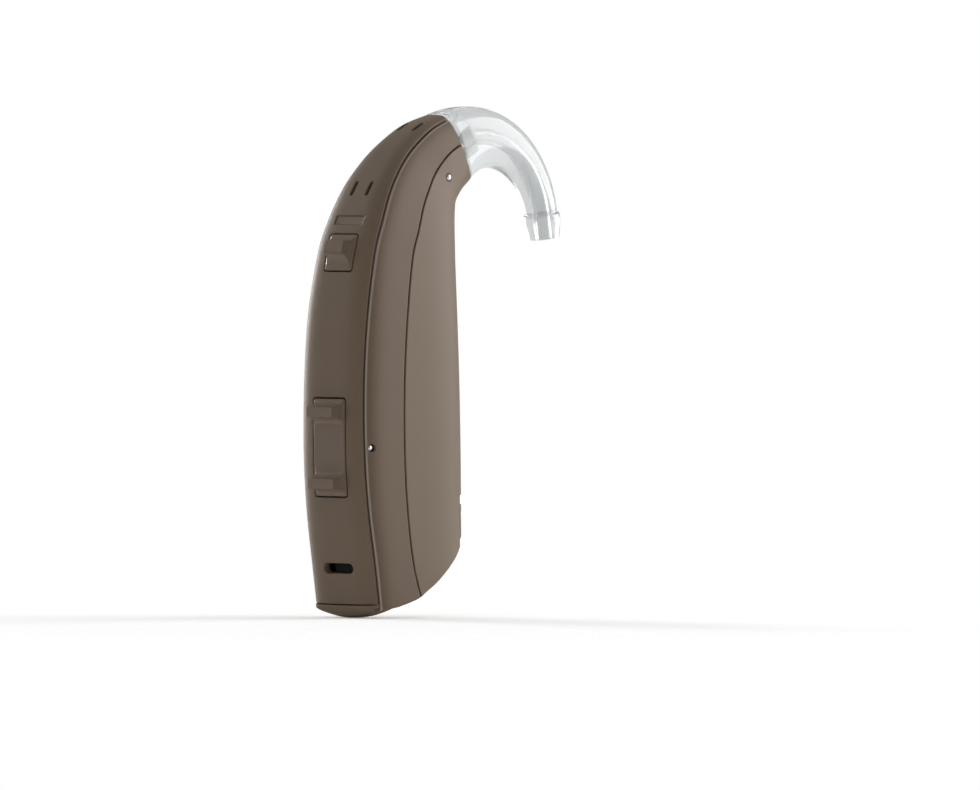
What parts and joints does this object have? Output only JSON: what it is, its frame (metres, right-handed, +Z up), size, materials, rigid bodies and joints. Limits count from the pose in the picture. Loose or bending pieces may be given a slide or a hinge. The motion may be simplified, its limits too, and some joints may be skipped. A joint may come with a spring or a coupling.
{
  "type": "behind-the-ear hearing aid",
  "caption": "Curved behind-the-ear hearing aid with clear screwed ear hook, battery door, volume rocker, push button and battery lock.",
  "frame": {"origin": "middle of the flat foot under the battery door", "axes": "+Z up along the body, +X forward toward the ear hook's tip, Y across the thickness"},
  "size_m": [0.033, 0.01, 0.0506],
  "materials": {
    "cover_plastic": "satin taupe moulded plastic",
    "frame_plastic": "satin taupe moulded plastic",
    "inlay_plastic": "satin, bare",
    "pin_steel": "bright steel",
    "spout_plastic": "grey moulded plastic",
    "can_steel": "drawn steel",
    "clear_silicone": "clear silicone",
    "black_rubber": "soft rubber",
    "board_green": "solder mask",
    "chip_black": "moulded package",
    "coil_copper": "wound copper wire",
    "contact_brass": "gilt spring metal",
    "mic_brass": "gilt can",
    "cell_steel": "nickel plated steel",
    "grommet_blue": "nylon",
    "slider_dark": "dark satin plastic",
    "hook_clear": "clear polished plastic"
  },
  "bodies": {
    "housing": {"spine_cover": "cover_plastic", "mid_frame": "frame_plastic", "front_cover": "cover_plastic", "label_inlay": "inlay_plastic", "rocker_pin": "pin_steel", "cover_pin": "pin_steel", "door_hinge_pin": "pin_steel", "sound_spout": "spout_plastic", "receiver": "can_steel", "receiver_tube": "clear_silicone", "receiver_cradle": "black_rubber", "circuit_board": "board_green", "processor_chip": "chip_black", "telecoil": "coil_copper", "antenna_strip": "contact_brass", "front_microphone": "mic_brass", "rear_microphone": "mic_brass", "front_mic_seal": "black_rubber", "rear_mic_seal": "black_rubber", "button_switch": "can_steel", "rocker_switches": "can_steel", "positive_contact": "contact_brass", "negative_contact": "contact_brass"},
    "door": {"battery_door": "cover_plastic", "battery_can": "cell_steel", "battery_cap": "cell_steel", "battery_grommet": "grommet_blue"},
    "button": {"push_button": "cover_plastic"},
    "rocker": {"volume_rocker": "cover_plastic"},
    "slider": {"lock_slider": "slider_dark"},
    "seal_ring": {"hook_seal": "black_rubber"},
    "hook": {"ear_hook": "hook_clear"}
  },
  "joints": [
    {"name": "door_hinge", "type": "hinge", "parent": "housing", "child": "door", "pos_m": [0.01055, 0, 0.0116], "axis": [0, -1, 0], "range_deg": [0, 80]},
    {"name": "button_press", "type": "slide", "parent": "housing", "child": "button", "axis": [0.9698, 0, -0.2437], "range_m": [0, 0.00035], "stiffness_N_per_m": 3000},
    {"name": "rocker_tilt", "type": "hinge", "parent": "housing", "child": "rocker", "pos_m": [-0.00225, 0, 0.0169], "axis": [0, 1, 0], "range_deg": [-3.5, 3.5], "stiffness_Nm_per_rad": 0.05},
    {"name": "lock_slide", "type": "slide", "parent": "housing", "child": "slider", "axis": [0, 1, 0], "range_m": [0, 0.0014]},
    {"name": "hook_turn", "type": "hinge", "parent": "housing", "child": "seal_ring", "pos_m": [0.01272, 0, 0.0464], "axis": [0.8889, 0, 0.4582], "range_deg": [0, 720]},
    {"name": "hook_unscrew", "type": "slide", "parent": "seal_ring", "child": "hook", "axis": [0.8889, 0, 0.4582], "range_m": [0, 0.001]}
  ],
  "couplings": [
    {"joint": "hook_turn", "follows": "hook_unscrew", "rad_per_m": 12566}
  ]
}
